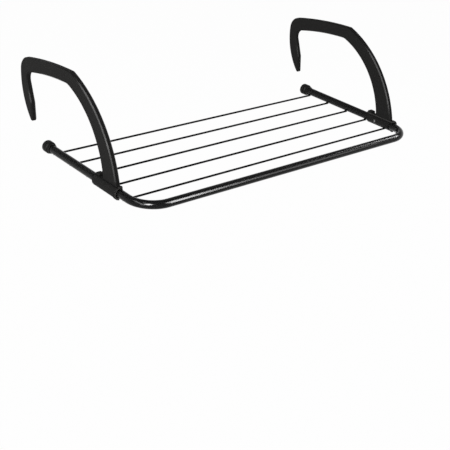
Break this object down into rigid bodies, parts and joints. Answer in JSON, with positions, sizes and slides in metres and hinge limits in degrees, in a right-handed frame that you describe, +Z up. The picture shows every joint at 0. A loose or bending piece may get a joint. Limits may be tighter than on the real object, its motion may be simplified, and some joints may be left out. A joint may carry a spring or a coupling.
{
  "type": "hook-over drying rack",
  "caption": "Drying rack that hooks over a rail, radiator or bath edge: U-shaped tube frame with drying wires and two hook arms that slide and fold flat.",
  "frame": {"origin": "on the rail's top, under the hooks, midway between the two arms", "axes": "+X along the drying wires, +Y back towards the rail, +Z up"},
  "size_m": [0.5402, 0.3232, 0.1456],
  "materials": {
    "tube_paint": "satin black paint on steel tube",
    "wire_paint": "black coated steel wire",
    "cap_plastic": "black moulded plastic",
    "arm_plastic": "fine textured charcoal black plastic",
    "bush_plastic": "smooth black plastic",
    "screw_steel": "zinc plated steel"
  },
  "bodies": {
    "frame": {"frame_tube": "tube_paint", "drying_wire_1": "wire_paint", "drying_wire_2": "wire_paint", "drying_wire_3": "wire_paint", "drying_wire_4": "wire_paint", "drying_wire_5": "wire_paint", "left_end_cap": "cap_plastic", "right_end_cap": "cap_plastic"},
    "left_bush": {"left_sleeve_bush": "bush_plastic", "left_set_screw": "screw_steel"},
    "left_arm": {"left_arm": "arm_plastic"},
    "right_bush": {"right_sleeve_bush": "bush_plastic", "right_set_screw": "screw_steel"},
    "right_arm": {"right_arm": "arm_plastic"}
  },
  "joints": [
    {"name": "left_arm_slide", "type": "slide", "parent": "frame", "child": "left_bush", "axis": [0, 1, 0], "range_m": [-0.022, 0.118]},
    {"name": "left_arm_fold", "type": "hinge", "parent": "left_bush", "child": "left_arm", "pos_m": [-0.26, -0.172, -0.1081], "axis": [0, 1, 0], "range_deg": [0, 90]},
    {"name": "right_arm_slide", "type": "slide", "parent": "frame", "child": "right_bush", "axis": [0, 1, 0], "range_m": [-0.001, 0.139]},
    {"name": "right_arm_fold", "type": "hinge", "parent": "right_bush", "child": "right_arm", "pos_m": [0.26, -0.193, -0.1081], "axis": [0, -1, 0], "range_deg": [0, 90]}
  ]
}
